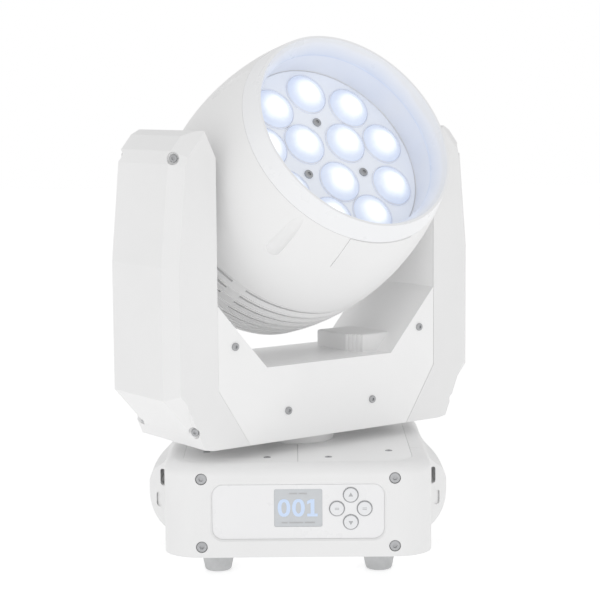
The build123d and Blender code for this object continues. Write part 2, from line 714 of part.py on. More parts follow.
def arm_cover():
    keep = arm_outline() - offset(beam_face(), SEAM, kind=Kind.INTERSECTION)
    keep -= offset(head_space(), SEAM, kind=Kind.INTERSECTION)
    solid = arm_block(0.0)
    cover = (solid - arm_block(ARM_WALL)) & upright(keep, -BIG, BIG)
    for place in arm_well_places():
        tube = along_well(rod(ARM_WELL_R + 2, -ARM_WELL_DEEP - 3, 8), place) & solid
        well = along_well(rod(ARM_WELL_R, -ARM_WELL_DEEP, 20) + rod(1.5, -ARM_WELL_DEEP - 4, 0), place)
        cover = cover + tube + mirror(tube, Plane.XZ) - well - mirror(well, Plane.XZ)
    return cover


def pan_motor_cap():
    """The cap over the pan motor's end, on the crossbeam, its front corner fluted."""
    plan = outline([(CAP_X0, CAP_Y0 + CAP_CUT_Y), (CAP_X0 + CAP_CUT_X, CAP_Y0), (CAP_X1, CAP_Y0),
                    (CAP_X1, CAP_Y1), (CAP_X0, CAP_Y1)])
    cap = slab(plan, BEAM_TOP, CAP_TOP)
    cap = fillet(cap.edges().group_by(Axis.Z)[-1], 2.0)
    for k in range(4):
        t = 0.14 + 0.24 * k
        cap -= rod(1.1, BEAM_TOP - 1, CAP_TOP + 1, CAP_X0 + CAP_CUT_X * t, CAP_Y0 + CAP_CUT_Y * (1 - t))
    return cap & upright(head_space(), -BIG, BIG)


def yoke_screw_group():
    """Pan heads in the front and rear plates."""
    heads = []
    for x, z in plate_screw_places():
        front = Pos(x, -PLATE_Y, z) * Rot(90, 0, 0) * screw(3.4, 1.6, 1.5, 6)
        heads += [front, Rot(0, 0, 180) * front]
    for place in arm_well_places():
        sunk = along_well(Pos(0, 0, -ARM_WELL_DEEP) * screw(WELL_SCREW_R, 2.4, 1.5, 5), place)
        heads += [sunk, mirror(sunk, Plane.XZ), mirrored(sunk), mirrored(mirror(sunk, Plane.XZ))]
    return heads


def cover_screw_group():
    heads = []
    for x, y in cover_screw_places():
        heads.append(Pos(x, y, BASE_TOP - COVER_SCREW_SUNK) * screw(3.1, 1.4, 1.5, 6))
    for x, z in corner_screw_places():
        heads.append(Pos(x, FRONT_Y + CORNER_SCREW_SUNK, z) * Rot(90, 0, 0) * screw(SCREW_HEAD_R, 2.7, 1.4, 8))
    return heads


# ---------------------------------------------------------------- tilt drive, in the arm on -X

TILT_PULLEY_X = TILT_BELT_X - BELT_W / 2 - BELT_LIP
BRACKET_X1 = TILT_PULLEY_X - BELT_LIP - 1.0


def along_minus_x(piece, x, z):
    """Turn a piece drawn on +Z so that it points along -X, its z=0 at -x."""
    return Pos(-x, 0, z) * Rot(0, -90, 0) * piece


def tilt_pulley():
    pulley = timing_pulley(TILT_TEETH, TILT_SHAFT_R, BELT_W, BELT_LIP)
    return along_minus_x(pulley, TILT_PULLEY_X, PIVOT_Z)


def tilt_pinion():
    pinion = timing_pulley(PINION_TEETH, 0.5, BELT_W, BELT_LIP)
    shaft = rod(MOTOR_SHAFT_R, -12, BELT_W)
    return along_minus_x(pinion + shaft, TILT_PULLEY_X, TILT_MOTOR_Z)


def tilt_belt():
    loop = belt(TILT_TEETH, PINION_TEETH, PIVOT_Z - TILT_MOTOR_Z)
    return Pos(-TILT_PULLEY_X, 0, PIVOT_Z) * Rot(0, -90, 0) * Rot(0, 0, 180) * loop


def tilt_motor_bracket():
    x0 = BRACKET_X1 - BRACKET_T
    top = ARM_KNEE_Z + 22
    half = MOTOR_SIDE / 2 + 2
    plate = block(-BRACKET_X1, -x0, -half, half, TILT_MOTOR_Z - half, top)
    plate += block(-BRACKET_X1, -ARM_IN - CHASSIS_T, -half, half, top - BRACKET_T, top)
    plate += block(-ARM_IN - CHASSIS_T - BRACKET_T, -ARM_IN - CHASSIS_T, -half, half, ARM_KNEE_Z + 2, top)
    return plate - rod_x(19, -BRACKET_X1 - 1, -x0 + 1, 0, TILT_MOTOR_Z)


def tilt_motor():
    body = motor(TILT_MOTOR_L, MOTOR_SHAFT_R + RUNNING)
    return along_minus_x(body, BRACKET_X1 - BRACKET_T, TILT_MOTOR_Z)


def tilt_bearings():
    ring = rod_x(TILT_BEARING_R, ARM_IN + CHASSIS_T, ARM_IN + CHASSIS_T + TILT_BEARING_W, 0, PIVOT_Z)
    ring -= rod_x(TILT_SHAFT_R + RUNNING, 0, BIG, 0, PIVOT_Z)
    return [ring, mirrored(ring)]


def bearing_blocks():
    x0 = ARM_IN + CHASSIS_T
    seat = block(x0, x0 + TILT_BEARING_W, -26, 26, PIVOT_Z - 26, PIVOT_Z + 26)
    seat = fillet(seat.edges().filter_by(Axis.X), 6)
    seat -= rod_x(TILT_BEARING_R, x0 - 1, x0 + TILT_BEARING_W + 1, 0, PIVOT_Z)
    return [seat, mirrored(seat)]


# ---------------------------------------------------------------- head, beam along +Z, x along the tilt axis

def skin_arc(inset=0.0):
    """The head's side outline in (r, l), one arc from the rim to the tail."""
    return ThreePointArc((RIM_R - inset, RIM_L), (BELLY_R - inset, 0), (TAIL_R - inset, TAIL_L))


def skin_radius(l):
    """Radius of the outer skin at a distance l along the beam."""
    (r0, l0), (r1, l1), (r2, l2) = (RIM_R, RIM_L), (BELLY_R, 0.0), (TAIL_R, TAIL_L)
    d = 2 * (r0 * (l1 - l2) + r1 * (l2 - l0) + r2 * (l0 - l1))
    s0, s1, s2 = r0 * r0 + l0 * l0, r1 * r1 + l1 * l1, r2 * r2 + l2 * l2
    cr = (s0 * (l1 - l2) + s1 * (l2 - l0) + s2 * (l0 - l1)) / d
    cl = (s0 * (r2 - r1) + s1 * (r0 - r2) + s2 * (r1 - r0)) / d
    big = hypot(r0 - cr, l0 - cl)
    return cr + (big * big - (l - cl) ** 2) ** 0.5


def revolved(face):
    """Spin an (r, l) face about the beam."""
    return revolve(Plane.XZ * face, Axis.Z)


def head_profile(inset):
    """The closed (r, l) face of the whole head, its skin moved in by inset."""
    crown = CROWN_L + inset
    line = skin_arc(inset) + Line((TAIL_R - inset, TAIL_L), (CROWN_R, crown))
    line += Polyline((CROWN_R, crown), (0, crown), (0, RIM_L), (RIM_R - inset, RIM_L))
    face = make_face(line)
    turn = [v for v in face.vertices() if abs(v.Y - TAIL_L) < 0.01]
    crown_turn = [v for v in face.vertices() if abs(v.Y - crown) < 0.01 and v.X > 1]
    return fillet(turn + crown_turn, 9)


def head_body(inset):
    return revolved(head_profile(inset))


BEZEL_L0 = BEZEL_IN_L - 2 + SEAM
BEZEL_TAIL = 4.0      # the bezel's rear spigot


def band(l0, l1):
    return rod(BIG / 3, l0, l1)


def head_front_housing():
    shell = (head_body(0.0) - head_body(HEAD_WALL)) & band(HEAD_SPLIT, BEZEL_IN_L - 2)
    # The well that the lens plate slides in.
    well = rod(WELL_R + 2.0, 50, BEZEL_IN_L - 2) - rod(WELL_R, 49, BEZEL_IN_L)
    shell += well
    web = rod(skin_radius(58) - 1.5, 56, 59) - rod(WELL_R + 1, 55, 60)
    shell += web
    shell -= rod_x(TILT_SHAFT_R + 1.5, -BIG, BIG)
    whole = head_body(0.0)
    for angle in (44, 136, 224, 316):
        shell += scoop(angle, SCOOP_WALL) & whole & band(HEAD_SPLIT, BEZEL_L0 - BEZEL_TAIL - 1)
    for angle in (44, 136, 224, 316):
        shell -= scoop(angle, 0.0)
    seat = label_patch(-0.6, 0.6, 0.0)
    return shell - seat


def scoop(angle, grow):
    """A leaf-shaped trough along the beam, deep and round behind, running out in front."""
    r0 = skin_radius(SCOOP_L0) + SCOOP_R - SCOOP_DEEP
    r1 = skin_radius(SCOOP_L1) + SCOOP_R
    lean = degrees(atan((r1 - r0) / (SCOOP_L1 - SCOOP_L0)))
    trough = rod(SCOOP_R + grow, 0, SCOOP_L1 - SCOOP_L0 + 6) + Sphere(SCOOP_R + grow)
    return Rot(0, 0, angle) * Pos(r0, 0, SCOOP_L0) * Rot(0, lean, 0) * trough


def label_patch(r_in, r_out, shrink):
    """A curved patch low on the front housing, from r_in to r_out off the skin."""
    l0 = 52 + shrink
    l1 = 86 - shrink
    mid = (l0 + l1) / 2
    corners = [(skin_radius(l) + d, l) for l, d in ((l0, r_in), (l0, r_out))]
    outer = ThreePointArc(corners[1], (skin_radius(mid) + r_out, mid), (skin_radius(l1) + r_out, l1))
    inner = ThreePointArc(corners[0], (skin_radius(mid) + r_in, mid), (skin_radius(l1) + r_in, l1))
    ends = Line(corners[0], corners[1]) + Line((skin_radius(l1) + r_in, l1), (skin_radius(l1) + r_out, l1))
    face = make_face(outer + inner + ends)
    swept = revolve(Plane.XZ * face, Axis.Z, 37 - shrink)
    return Rot(0, 0, -110 + shrink / 2) * swept


def label_plate():
    return label_patch(-0.6, 0.7, 0.2)


def louvre_zone():
    """Pitch and start of each louvre ring, from the split rearwards."""
    pitch = (HEAD_SPLIT - 2 - (TAIL_L + 4)) / LOUVRES
    return pitch, [HEAD_SPLIT - 2 - pitch * k for k in range(LOUVRES)]


def head_rear_housing():
    shell = (head_body(0.0) - head_body(HEAD_WALL + 1)) & band(CROWN_L - 5, HEAD_SPLIT - SEAM)
    pitch, starts = louvre_zone()
    for top in starts:
        # Each step is undercut at its front edge, with slots for the air through it.
        r = skin_radius(top)
        low = skin_radius(top - pitch)
        foot_l = top - pitch + 2.5
        wedge = outline([(r + 5, top), (r - LOUVRE_STEP, top), (low, foot_l), (low + 12, foot_l)])
        shell -= revolved(wedge)
        slot = rod(BIG / 3, top - LOUVRE_SLOT - 1, top - 1) - rod(60, -BIG, BIG)
        for k in range(4):
            spoke = Rot(0, 0, 45 + 90 * k) * Pos(BIG / 4, 0) * Box(BIG / 2, 14, BIG)
            slot -= spoke
        for x in (-1, 1):
            slot -= Pos(x * BELLY_R, 0, 0) * Box(60, 34, BIG)
        shell -= slot
    for k in range(4):
        shell -= around(FAN_RING, 45 + 90 * k) * rod(2.2, CROWN_L - 5, CROWN_L + 12)
    for ring in (18, 27, 36, 45):
        groove = rod(ring + 2, CROWN_L - 1, CROWN_L + 8) - rod(ring - 1.2, CROWN_L - 2, CROWN_L + 9)
        for k in range(4):
            groove -= Rot(0, 0, 45 + 90 * k) * Pos(BIG / 4, 0) * Box(BIG / 2, 9, BIG)
        shell -= groove
    return shell


def front_bezel():
    """The ring round the mouth: an outer lip and a cone down to the well."""
    r_seat = skin_radius(BEZEL_IN_L - 2)
    l0 = BEZEL_L0
    arc = ThreePointArc((RIM_R, RIM_L), (skin_radius(95), 95), (skin_radius(l0), l0))
    face = make_face(arc + Polyline((skin_radius(l0), l0), (BEZEL_IN_R, l0), (BEZEL_IN_R, BEZEL_IN_L),
                                    (RIM_R - 2.2, RIM_L), (RIM_R, RIM_L)))
    ring = revolved(face)
    tail = rod(r_seat - HEAD_WALL - GAP, l0 - BEZEL_TAIL, l0 + 1)
    tail -= rod(WELL_R + 2 + GAP, l0 - BEZEL_TAIL - 1, l0 + 2)
    return ring + tail


def lens_places():
    outer = [(OUTER_RING, 90 + 360 / OUTER_COUNT * k) for k in range(OUTER_COUNT)]
    inner = [(INNER_RING, 30 + 360 / INNER_COUNT * k) for k in range(INNER_COUNT)]
    return outer + inner


def drive_angles():
    """Angles of the two guide rods and, last, the zoom screw, between outer lenses."""
    first = 90 + 180 / OUTER_COUNT
    return [first, first + 240, first + 120]


def lens_plate():
    back = LENS_L - LENS_PLATE_T
    plate = rod(WELL_R - GAP, back, LENS_L)
    plate = chamfer(plate.edges().group_by(Axis.Z)[-1], 0.6)
    for ring, angle in lens_places():
        plate -= around(ring, angle) * rod(LENS_R + LENS_FIT, back - 1, LENS_L + 1)
    for k in range(3):
        plate -= around(PLATE_SCREW_RING, 90 + 120 * k) * rod(1.6, back - 1, LENS_L + 1)
    # A stiffening rim behind the plate's edge.
    plate += rod(WELL_R - GAP, back - 6, back) - rod(WELL_R - GAP - 2, back - 7, back + 1)
    return plate


def carriage_drive():
    """Guide rods and the tapped sleeve, fixed behind the lens plate."""
    back = LENS_L - LENS_PLATE_T
    *rods, nut = drive_angles()
    pieces = [around(ROD_RING, a) * rod(ROD_R, back - NUT_L - 10, back) for a in rods]
    sleeve = rod(NUT_R, back - NUT_L, back) - rod(ZOOM_SCREW_R + RUNNING, back - NUT_L - 1, back - 1)
    return pieces + [around(ROD_RING, nut) * sleeve]


def lens():
    """A domed lens on a short round side, its cone behind it towards the LED."""
    back = LENS_L - LENS_PLATE_T
    top = LENS_L + LENS_SIDE
    dome_r = (LENS_R ** 2 + LENS_DOME ** 2) / (2 * LENS_DOME)
    dome = Pos(0, 0, top + LENS_DOME - dome_r) * Sphere(dome_r)
    dome &= rod(LENS_R, top, top + LENS_DOME + 1)
    cone = Pos(0, 0, back - 6) * Cone(LENS_R - 9, LENS_R, 12)
    return dome + rod(LENS_R, back, top) + cone


def lenses():
    return [around(ring, angle) * lens() for ring, angle in lens_places()]


def plate_screws():
    seated = Pos(0, 0, LENS_L) * screw(PLATE_SCREW_R, 1.9, 1.5, LENS_PLATE_T + 4)
    return [around(PLATE_SCREW_RING, 90 + 120 * k) * seated for k in range(3)]


def zoom_screw():
    nut = drive_angles()[-1]
    thread = rod(ZOOM_SCREW_R, SINK_BACK - 10, ZOOM_SCREW_TIP)
    return around(ROD_RING, nut) * thread


SINK_BACK = LED_L - BOARD_T - SINK_T


def zoom_motor():
    nut = drive_angles()[-1]
    can = rod(12, SINK_BACK - 26, SINK_BACK - 2) + rod(4, SINK_BACK - 2, SINK_BACK)
    can -= rod(ZOOM_SCREW_R + 0.1, SINK_BACK - 10.4, SINK_BACK + 1)
    ears = Pos(0, 0, SINK_BACK - 1) * extrude(rounded(42, 8, 3.9), 1) - rod(3.5, SINK_BACK - 5, SINK_BACK + 5)
    return around(ROD_RING, nut) * (can + Rot(0, 0, nut + 90) * ears)


def drive_holes(piece, r, l0, l1):
    for a in drive_angles():
        piece -= around(ROD_RING, a) * rod(r, l0, l1)
    return piece


def heat_sink():
    sink = rod(SINK_R, SINK_BACK, LED_L - BOARD_T)
    for k in range(FIN_COUNT):
        x = -FIN_R + FIN_T + (2 * FIN_R - 2 * FIN_T) / (FIN_COUNT - 1) * k
        half = (FIN_R ** 2 - min(abs(x), FIN_R - 6) ** 2) ** 0.5
        sink += block(x - FIN_T / 2, x + FIN_T / 2, -half, half, SINK_BACK - FIN_L, SINK_BACK + 0.5)
    return drive_holes(sink, NUT_R + GAP, SINK_BACK - 1, LED_L)


def led_board():
    board = rod(SINK_R, LED_L - BOARD_T, LED_L)
    return drive_holes(board, NUT_R + GAP, LED_L - BOARD_T - 1, LED_L + 1)


def leds():
    chips = []
    for ring, angle in lens_places():
        chip = Pos(0, 0, LED_L + 0.8) * Box(7, 7, 1.6)
        dome = (Pos(0, 0, LED_L + 1.2) * Sphere(2.8)) & block(-4, 4, -4, 4, LED_L + 1.0, LED_L + 6)
        chips.append(around(ring, angle) * (chip + dome))
    return chips


def head_chassis():
    """A ring round the inside with webs to the heat sink and pads for the shafts."""
    r_out = skin_radius(CHASSIS_L) - HEAD_WALL - 1
    ring = rod(r_out, -CHASSIS_L + 4, SINK_BACK + 5) - rod(r_out - 4, -CHASSIS_L + 3, SINK_BACK + 6)
    for k in range(4):
        arm = block(SINK_R, r_out - 2, -8, 8, SINK_BACK, SINK_BACK + 5)
        ring += Rot(0, 0, 45 + 90 * k) * arm
    for x in (-1, 1):
        boss = rod_x(TILT_SHAFT_R + 7, 84, r_out - 1)
        ring += boss if x > 0 else mirrored(boss)
    return ring - rod_x(TILT_SHAFT_R, -BIG, BIG)


def tilt_shaft(x_end):
    shaft = rod_x(TILT_SHAFT_R, 84, x_end)
    flange = rod_x(TILT_SHAFT_R + 5, 80, 84)
    return shaft + flange - rod_x(TILT_SHAFT_BORE, 0, BIG)


def fan_frame():
    frame = slab(rounded(FAN_SIDE, FAN_SIDE, 6), FAN_L - FAN_T / 2, FAN_L + FAN_T / 2)
    frame -= rod(FAN_SIDE / 2 - 2, -BIG, FAN_L + FAN_T / 2 - 3)
    frame -= rod(FAN_SIDE / 2 - 2, FAN_L, BIG)
    frame += rod(13, FAN_L + FAN_T / 2 - 3, FAN_L + FAN_T / 2)
    strut = block(10, FAN_SIDE / 2 - 1, -2, 2, FAN_L + FAN_T / 2 - 3, FAN_L + FAN_T / 2)
    for k in range(4):
        frame += Rot(0, 0, 45 + 90 * k) * strut
    for k in range(4):
        frame -= around(FAN_RING, 45 + 90 * k) * rod(2.1, -BIG, BIG)
    frame += rod(2.0, FAN_L - 4, FAN_L + FAN_T / 2 - 2)
    return frame


def fan_rotor():
    top = FAN_L + FAN_T / 2 - 3 - 1
    rotor = rod(12, FAN_L - 7, top)
    for k in range(7):
        blade = Rot(0, 0, 360 / 7 * k) * Pos(23, 0, FAN_L - 1) * Rot(32, 0, 0) * Box(24, 14, 1.6)
        rotor += blade
    rotor &= rod(FAN_SIDE / 2 - 4, FAN_L - 8, top)
    return rotor - rod(2.0 + RUNNING, FAN_L - 4.5, BIG)


def fan_posts():
    """Four spacers that carry the fan from the rear housing."""
    back = CROWN_L + HEAD_WALL + 1
    post = rod(4.0, back, FAN_L - FAN_T / 2) - rod(2.0, back - 1, back + 10)
    return [around(FAN_RING, 45 + 90 * k) * post for k in range(4)]


def crown_screws():
    return [around(FAN_RING, 45 + 90 * k) * Pos(0, 0, CROWN_L) * Rot(180, 0, 0) * screw(3.6, 1.6, 1.9, 9)
            for k in range(4)]


# ---------------------------------------------------------------- write every node

save("base_tray", base_tray())
save("base_front_housing", base_front_housing())
save("base_rear_housing", base_rear_housing())
save("side_handle_right", side_handle())
save("side_handle_left", mirrored(side_handle()))
save("top_cover_right", top_cover())
save("top_cover_left", mirrored(top_cover()))
save("control_panel", control_panel())
save("display_module", display_module())
save("control_board", control_board())
for side, (bx, bz) in button_places().items():
    save(f"button_{side}", button(bx, bz))
save("connector_panel", connector_panel())
save("data_sockets", [data_socket(DATA_X[0], True), data_socket(DATA_X[1], False)])
save("power_inlet", power_socket(POWER_IN_X, True))
save("power_outlet", power_socket(POWER_OUT_X, False))
save("rubber_feet", [foot(fx, fy) for fx, fy in foot_places()])
save("power_supply", power_supply())
save("pan_post", pan_post())
save("pan_collar", pan_collar())
save("pan_pulley", pan_pulley())
save("base_screws", cover_screw_group())

save("yoke_chassis", yoke_chassis(), YOKE_AT)
save("yoke_front_plate", yoke_plate(-PLATE_Y, -YOKE_IN), YOKE_AT)
save("yoke_rear_plate", yoke_plate(YOKE_IN, PLATE_Y), YOKE_AT)
save("yoke_bottom_plate", yoke_bottom_plate(), YOKE_AT)
save("pan_bearing", pan_bearing(), YOKE_AT)
save("arm_cover_right", arm_cover(), YOKE_AT)
save("arm_cover_left", mirrored(arm_cover()), YOKE_AT)
save("pan_motor", pan_motor(), YOKE_AT)
save("pan_motor_cap", pan_motor_cap(), YOKE_AT)
save("pan_belt", Pos(0, 0, PULLEY_Z0) * belt(PAN_TEETH, PINION_TEETH, PAN_MOTOR_X), YOKE_AT)
save("pan_pinion", pan_pinion(), YOKE_AT)
save("tilt_motor_bracket", tilt_motor_bracket(), YOKE_AT)
save("tilt_motor", tilt_motor(), YOKE_AT)
save("tilt_belt", tilt_belt(), YOKE_AT)
save("tilt_pinion", tilt_pinion(), YOKE_AT)
save("tilt_bearings", tilt_bearings() + bearing_blocks(), YOKE_AT)
save("yoke_screws", yoke_screw_group(), YOKE_AT)

save("head_front_housing", head_front_housing(), HEAD_AT)
save("head_rear_housing", head_rear_housing(), HEAD_AT)
save("front_bezel", front_bezel(), HEAD_AT)
save("label_plate", label_plate(), HEAD_AT)
save("head_chassis", head_chassis(), HEAD_AT)
save("tilt_shaft_right", tilt_shaft(ARM_IN + CHASSIS_T + TILT_BEARING_W + 3), HEAD_AT)
save("tilt_shaft_left", mirrored(tilt_shaft(TILT_PULLEY_X + BELT_W + 2 * BELT_LIP)), HEAD_AT)
save("tilt_pulley", Pos(0, 0, -PIVOT_Z) * tilt_pulley(), HEAD_AT)
save("heat_sink", heat_sink(), HEAD_AT)
save("led_board", [led_board()] + leds(), HEAD_AT)
save("zoom_motor", zoom_motor(), HEAD_AT)
save("zoom_screw", zoom_screw(), HEAD_AT)
save("fan_frame", [fan_frame()] + fan_posts(), HEAD_AT)
save("fan_rotor", fan_rotor(), HEAD_AT)
save("head_screws", crown_screws(), HEAD_AT)
save("lens_plate", lens_plate(), HEAD_AT)
save("carriage_drive", carriage_drive(), HEAD_AT)
save("lenses", lenses(), HEAD_AT)
save("lens_plate_screws", plate_screws(), HEAD_AT)
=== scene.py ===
import json
import math

import bmesh
import bpy
from mathutils import Matrix, Vector


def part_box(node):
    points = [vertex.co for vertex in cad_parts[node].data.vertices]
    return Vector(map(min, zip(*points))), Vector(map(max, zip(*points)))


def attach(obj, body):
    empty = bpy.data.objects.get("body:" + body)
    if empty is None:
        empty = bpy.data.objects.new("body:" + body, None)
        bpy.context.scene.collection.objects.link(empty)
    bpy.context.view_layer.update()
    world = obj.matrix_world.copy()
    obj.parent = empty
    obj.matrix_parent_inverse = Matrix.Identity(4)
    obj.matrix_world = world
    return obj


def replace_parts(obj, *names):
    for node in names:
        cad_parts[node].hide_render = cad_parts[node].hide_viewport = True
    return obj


# Looks of a moving head wash light: base, pan yoke and tilting head, all in metres.

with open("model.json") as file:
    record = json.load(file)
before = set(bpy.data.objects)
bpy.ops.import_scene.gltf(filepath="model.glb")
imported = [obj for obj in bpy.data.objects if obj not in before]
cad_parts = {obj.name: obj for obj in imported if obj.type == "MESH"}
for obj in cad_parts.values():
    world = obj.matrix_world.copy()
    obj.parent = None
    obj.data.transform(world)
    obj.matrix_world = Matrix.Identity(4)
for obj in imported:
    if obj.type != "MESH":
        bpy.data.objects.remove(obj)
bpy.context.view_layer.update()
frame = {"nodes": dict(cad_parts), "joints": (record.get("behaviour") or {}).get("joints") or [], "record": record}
NODES = frame["nodes"]
JOINTS = {joint["name"]: joint for joint in frame["joints"]}
MM = 0.001

# ---------------------------------------------------------------- frames and sizes

# The three frames that pieces are drawn in.
tilt_axis = Vector(JOINTS["tilt"]["axis"])
beam_axis = Vector(JOINTS["zoom"]["axis"])
PIVOT = Vector(JOINTS["tilt"]["pos_m"])
BASE = Matrix.Identity(4)
YOKE = Matrix.Rotation(math.atan2(tilt_axis.y, tilt_axis.x), 4, "Z")
HEAD = Matrix.Translation(PIVOT) @ YOKE @ Matrix.Rotation(math.acos(beam_axis.z), 4, "X")
FACE_FRONT = Matrix.Rotation(math.radians(90), 4, "X")


def top_of(node, place):
    """How far a node reaches along the Z of one of the three frames."""
    back = place.inverted()
    return max((back @ vert.co).z for vert in NODES[node].data.vertices)


# Lenses: rings they stand on, in the head's frame.
PLATE_FRONT = top_of("lens_plate", HEAD)
LENS_TOP = top_of("lenses", HEAD)
LENS_RINGS = ((62.8 * MM, 9, 90), (25.3 * MM, 3, 30))      # radius, lenses, first angle
LENS_R = 19.0 * MM
LENS_FIT = 0.15 * MM
LENS_SIDE = 1.6 * MM                                       # straight side above the plate
LENS_ROOT = 2.0 * MM                                       # depth in the plate
LENS_EDGE = 0.25 * MM
LENS_EDGE_HIGH = 0.5 * MM
LENS_SINK = 0.05 * MM                                      # keeps the dome inside its own node
LENS_STEPS, DOME_STEPS = 64, 16
RIM_PROFILE = ((0.02, -0.3), (0.02, 1.5), (0.22, 1.8), (0.52, 1.75), (0.75, 1.2), (0.8, 0.5), (0.8, -0.3),
               (0.02, -0.3))                               # beyond the lens and above the plate, mm

# The bore where the lenses' light is painted on the moulding: its foot, its lip, and where the painted light ends
# behind the plate.
BORE_FOOT_R, BORE_LIP_R = 84.5 * MM, 92.0 * MM
BORE_LIT_L, BORE_DARK_L = 64.0 * MM, 56.0 * MM

# Control panel.
PANEL_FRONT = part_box("control_panel")[0].y
glass_low, glass_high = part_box("display_module")
BUTTONS = {side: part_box(f"button_{side}") for side in ("up", "down", "left", "right")}
PRINT_THICK = 0.1 * MM
PRINT_EDGE = 0.03 * MM
PRINT_SINK = 0.02 * MM
RING_INSET, RING_IN, RING_OUT = 0.3 * MM, 0.45 * MM, 0.2 * MM
RING_STEPS = 48
TRIANGLE_R = 2.3 * MM
DASH_LONG, DASH_HIGH = 3.6 * MM, 0.5 * MM
DASH_OFFSETS = (-0.6 * MM, 0.6 * MM)
FIGURE_THICK = 0.12 * MM
FIGURES_Z = 58.2 * MM
FIGURE_X = (-11.9, 0.2, 11.9)                              # middles of the three figures, mm
ZERO_OUTER, ZERO_INNER = (5.3, 7.5), (2.2, 4.9)            # half sizes of the figure 0, mm
ZERO_SQUARE = 0.8                                          # under 1 for fuller corners
ONE = ((-4.4, -7.4), (4.4, -7.4), (4.4, -5.0), (1.7, -5.0), (1.7, 7.4), (-1.1, 7.4), (-4.4, 5.7), (-4.4, 3.1),
       (-1.5, 4.3), (-1.5, -5.0), (-4.4, -5.0))
STATUS_BARS = ((-7.5, -1.0, 11.6), (0.5, 7.5, 11.6), (-14.0, -9.0, -13.2), (-7.5, 4.0, -13.2),
               (5.5, 14.0, -13.2))                         # left, right and foot, mm
STATUS_BAR_HIGH = 1.2

# Stage: softboxes as name, place, aim, size and power.
FLOOR_HALF, FLOOR_CELLS = 6.0, 8
WORLD_SEEN, WORLD_LIGHT = 1.0, 0.69
SOFTBOXES = (("key", (1.3, -1.7, 1.7), (0, 0, 0.25), (1.2, 1.2), 1.5),
             ("fill", (-1.8, -1.2, 1.0), (0, 0, 0.2), (1.4, 1.4), 2.5),
             ("low_front", (0.2, -2.4, 0.5), (0, 0, 0.15), (1.6, 0.8), 3),
             ("top", (0.0, 0.3, 2.2), (0, 0, 0.2), (1.6, 1.6), 1.2))
CAMERA_PLACE = (0, -1.5624, 0.4036)
CAMERA_YAW, CAMERA_DIP, CAMERA_ROLL = -0.11, 6.7, -0.42    # degrees
CAMERA_LENS, CAMERA_SENSOR = 106.07, 36.0                  # millimetres
CAMERA_REACH = 50
PICTURE_GAMMA = 1.25


# ---------------------------------------------------------------- materials

# Where noise keeps most of its values, and the patterns that mouldings share.
NOISE_LOW, NOISE_HIGH = 0.3, 0.7
SHEEN = {"scale": 38, "detail": 5}
FLOW = {"scale": 24, "detail": 2}
FLOW_DEPTH, GRAIN_DEPTH = 0.0006, 0.00006


def linear(red, green, blue):
    """A colour given in display values from 0 to 255."""
    def channel(value):
        value /= 255
        return value / 12.92 if value <= 0.04045 else ((value + 0.055) / 1.055) ** 2.4
    return (channel(red), channel(green), channel(blue), 1.0)


class Finish:
    """A node material built around one shader."""

    def __init__(self, name):
        self.material = bpy.data.materials.new(name)
        self.material.use_nodes = True
        self.tree = self.material.node_tree
        self.shader = self.tree.nodes["Principled BSDF"]
        self.coords = self.tree.nodes.new("ShaderNodeTexCoord")

    def node(self, kind, **values):
        made = self.tree.nodes.new(kind)
        for key, value in values.items():
            setattr(made, key, value)
        return made

    def link(self, source, target):
        self.tree.links.new(source, target)

    def noise(self, scale, detail=3.0, roughness=0.5, stretch=(1, 1, 1)):
        """Noise with scale cells to the metre, drawn out along the axes by stretch."""
        mapping = self.node("ShaderNodeMapping")
        mapping.inputs["Scale"].default_value = stretch
        self.link(self.coords.outputs["Object"], mapping.inputs["Vector"])
        made = self.node("ShaderNodeTexNoise")
        made.inputs["Scale"].default_value = scale
        made.inputs["Detail"].default_value = detail
        made.inputs["Roughness"].default_value = roughness
        self.link(mapping.outputs["Vector"], made.inputs["Vector"])
        return made.outputs["Fac"]

    def ramp(self, source, stops):
        """Colours a source by stops of (place, colour)."""
        made = self.node("ShaderNodeValToRGB")
        points = made.color_ramp.elements
        while len(points) < len(stops):
            points.new(0.5)
        for point, (place, colour) in zip(points, stops):
            point.position = place
            point.color = colour
        self.link(source, made.inputs["Fac"])
        return made.outputs["Color"]

    def spread(self, source, low, high):
        """Stretches the middle of a noise over low to high."""
        made = self.node("ShaderNodeMapRange")
        made.inputs["From Min"].default_value = NOISE_LOW
        made.inputs["From Max"].default_value = NOISE_HIGH
        made.inputs["To Min"].default_value = low
        made.inputs["To Max"].default_value = high
        self.link(source, made.inputs["Value"])
        return made.outputs["Result"]

    def paint(self, source, stops):
        self.link(self.ramp(source, stops), self.shader.inputs["Base Color"])

    def roughen(self, source, low, high):
        self.link(self.spread(source, low, high), self.shader.inputs["Roughness"])

    def bump(self, heights):
        """Adds heights one over another: (source, strength, depth in metres)."""
        last = None
        for source, strength, depth in heights:
            made = self.node("ShaderNodeBump")
            made.inputs["Strength"].default_value = strength
            made.inputs["Distance"].default_value = depth
            self.link(source, made.inputs["Height"])
            if last:
                self.link(last, made.inputs["Normal"])
            last = made.outputs["Normal"]
        self.link(last, self.shader.inputs["Normal"])

    def set(self, **values):
        for key, value in values.items():
            self.shader.inputs[key.replace("_", " ")].default_value = value


def tinted(colour, factor):
    """A colour made darker or lighter."""
    return (colour[0] * factor, colour[1] * factor, colour[2] * factor, 1.0)


